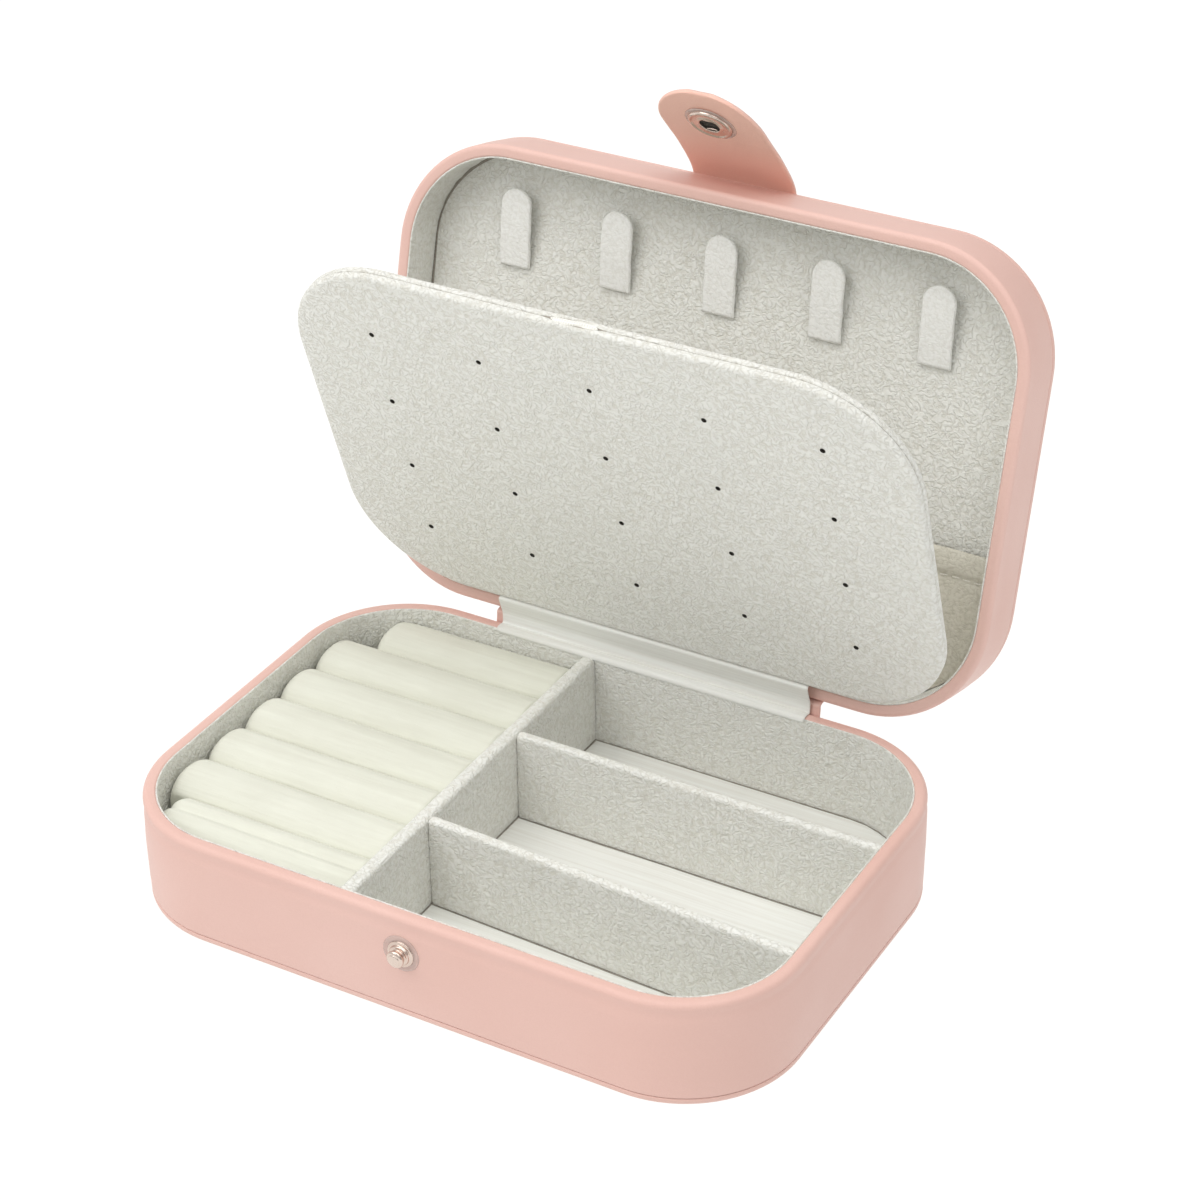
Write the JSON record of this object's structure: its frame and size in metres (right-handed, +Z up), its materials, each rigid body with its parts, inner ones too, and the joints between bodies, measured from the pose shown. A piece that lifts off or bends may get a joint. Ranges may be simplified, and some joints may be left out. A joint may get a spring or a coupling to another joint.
{
  "type": "jewellery case",
  "caption": "Small travel jewellery case with ring rolls, divided tray, earring flap, necklace hooks in the lid and a snap tab.",
  "frame": {"origin": "middle of the base's underside, which stands on the table", "axes": "+X to the right along the long side, +Y to the back where the lid is hinged, +Z up; the press stud is on the -Y face"},
  "size_m": [0.165, 0.1625, 0.1675],
  "materials": {
    "pink_leather": "fine grained, satin",
    "grey_board": "rough pressed board",
    "cream_lining": "pebbled leatherette, matt",
    "cream_velvet": "short velvet pile",
    "foam": "open foam",
    "elastic": "woven elastic band",
    "ribbon": "satin ribbon",
    "snap_metal": "nickel with a rose tint, polished",
    "clear_washer": "clear plastic, smooth"
  },
  "bodies": {
    "base": {"base_wall_board": "grey_board", "base_bottom_board": "grey_board", "base_wall_leather": "pink_leather", "base_bottom_leather": "pink_leather", "base_wall_lining": "cream_lining", "base_floor_lining": "cream_lining", "divider_long_core": "grey_board", "divider_long_cover": "cream_lining", "divider_cross_rear_core": "grey_board", "divider_cross_rear_cover": "cream_lining", "divider_cross_front_core": "grey_board", "divider_cross_front_cover": "cream_lining", "ring_roll_riser": "foam", "ring_roll_1": "cream_velvet", "ring_roll_2": "cream_velvet", "ring_roll_3": "cream_velvet", "ring_roll_4": "cream_velvet", "ring_roll_5": "cream_velvet", "ring_roll_6": "cream_velvet", "ring_roll_7": "cream_velvet", "snap_stud": "snap_metal", "snap_stud_washer": "clear_washer", "snap_stud_rivet": "snap_metal", "spine_leather_base": "pink_leather", "spine_lining_base": "cream_lining"},
    "lid": {"lid_wall_board": "grey_board", "lid_top_board": "grey_board", "lid_foam_pad": "foam", "lid_wall_leather": "pink_leather", "lid_top_leather": "pink_leather", "lid_wall_lining": "cream_lining", "lid_panel_card": "grey_board", "lid_panel_lining": "cream_lining", "pocket_front": "cream_lining", "pocket_elastic": "elastic", "spine_leather_lid": "pink_leather", "clasp_tab_tail": "pink_leather"},
    "flap": {"flap_front_cover": "cream_lining", "flap_front_board": "grey_board", "flap_rear_board": "grey_board", "flap_rear_cover": "cream_lining", "flap_hinge_strip": "cream_lining", "flap_pull_ribbon": "ribbon"},
    "clasp_tab": {"clasp_tab_inner_ply": "pink_leather", "clasp_tab_outer_ply": "pink_leather", "snap_socket": "snap_metal", "snap_cap": "snap_metal", "snap_socket_washer": "clear_washer"},
    "hook_1": {"necklace_hook_1": "cream_lining"},
    "hook_2": {"necklace_hook_2": "cream_lining"},
    "hook_3": {"necklace_hook_3": "cream_lining"},
    "hook_4": {"necklace_hook_4": "cream_lining"},
    "hook_5": {"necklace_hook_5": "cream_lining"}
  },
  "joints": [
    {"name": "lid_hinge", "type": "hinge", "parent": "base", "child": "lid", "pos_m": [0, 0.05792, 0.0291], "axis": [-1, 0, 0], "range_deg": [-104.5, 75.5]},
    {"name": "flap_hinge", "type": "hinge", "parent": "base", "child": "flap", "pos_m": [0, 0.05792, 0.0291], "axis": [-1, 0, 0], "range_deg": [-71.1, 51.4]},
    {"name": "clasp_tab_bend", "type": "hinge", "parent": "lid", "child": "clasp_tab", "pos_m": [0, 0.10167, 0.13716], "axis": [1, 0, 0], "range_deg": [-80, 34.7], "stiffness_Nm_per_rad": 0.03},
    {"name": "hook_1_bend", "type": "hinge", "parent": "lid", "child": "hook_1", "pos_m": [-0.0556, 0.08827, 0.10752], "axis": [1, 0, 0], "range_deg": [-6, 10], "stiffness_Nm_per_rad": 0.01},
    {"name": "hook_2_bend", "type": "hinge", "parent": "lid", "child": "hook_2", "pos_m": [-0.0278, 0.08827, 0.10752], "axis": [1, 0, 0], "range_deg": [-6, 10], "stiffness_Nm_per_rad": 0.01},
    {"name": "hook_3_bend", "type": "hinge", "parent": "lid", "child": "hook_3", "pos_m": [0, 0.08827, 0.10752], "axis": [1, 0, 0], "range_deg": [-6, 10], "stiffness_Nm_per_rad": 0.01},
    {"name": "hook_4_bend", "type": "hinge", "parent": "lid", "child": "hook_4", "pos_m": [0.0278, 0.08827, 0.10752], "axis": [1, 0, 0], "range_deg": [-6, 10], "stiffness_Nm_per_rad": 0.01},
    {"name": "hook_5_bend", "type": "hinge", "parent": "lid", "child": "hook_5", "pos_m": [0.0556, 0.08827, 0.10752], "axis": [1, 0, 0], "range_deg": [-6, 10], "stiffness_Nm_per_rad": 0.01}
  ],
  "couplings": [
    {"joint": "flap_hinge", "follows": "lid_hinge", "ratio": 0.68}
  ]
}
